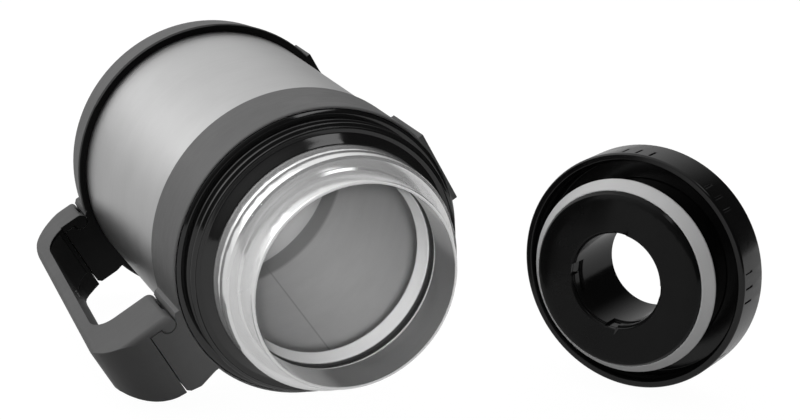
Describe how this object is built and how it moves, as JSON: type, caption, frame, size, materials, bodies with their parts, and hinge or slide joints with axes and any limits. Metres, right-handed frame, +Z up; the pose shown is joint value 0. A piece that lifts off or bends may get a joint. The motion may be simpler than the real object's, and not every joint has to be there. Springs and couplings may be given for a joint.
{
  "type": "insulated food jar",
  "caption": "Wide-mouth vacuum food jar lying on its side, with a fold-away handle on two brackets and its ring lid standing beside it.",
  "frame": {"origin": "centre of the whole part's box, at table height, with the jar lying on its side and the ring lid standing on its rim", "axes": "+Z up from the table; the jar's mouth faces -Y; the ring lid stands on the +X side, its plug turned towards -X and -Y"},
  "size_m": [0.2687, 0.2191, 0.1304],
  "materials": {
    "satin_steel": "satin, faintly brushed round the body",
    "polished_steel": "mirror-polished neck, satin food space",
    "grey_plastic": "moulded charcoal plastic, satin",
    "black_plastic": "polished black plastic",
    "pad_rubber": "matt",
    "seal_silicone": "matt grey silicone",
    "pin_steel": "ground",
    "getter": "pressed powder",
    "core_foam": "rigid foam"
  },
  "bodies": {
    "jar": {"outer_shell": "satin_steel", "inner_liner": "polished_steel", "shell_bottom": "satin_steel", "getter_cup": "satin_steel", "getter_pellet": "getter", "base_ring": "grey_plastic", "base_pad": "pad_rubber", "collar_ring": "grey_plastic", "thread_ring": "black_plastic", "neck_gasket": "seal_silicone", "collar_hinge_pin": "pin_steel", "base_hinge_pin": "pin_steel"},
    "handle": {"handle_grip": "grey_plastic", "handle_inner_cover": "black_plastic", "handle_screws": "pin_steel"},
    "ring_lid": {"lid_cap": "black_plastic", "lid_plug": "black_plastic", "lid_core": "core_foam", "lid_seal": "seal_silicone", "stopper_socket": "black_plastic", "socket_gasket": "seal_silicone"}
  },
  "joints": [
    {"name": "handle_fold", "type": "hinge", "parent": "jar", "child": "handle", "pos_m": [-0.1073, 0.03911, 0.03882], "axis": [0, 0.9998, 0.0196], "range_deg": [0, 90]},
    {"name": "lid_lift", "type": "slide", "parent": "jar", "child": "ring_lid", "axis": [0, 0, 1], "range_m": [0, 0.15]}
  ]
}
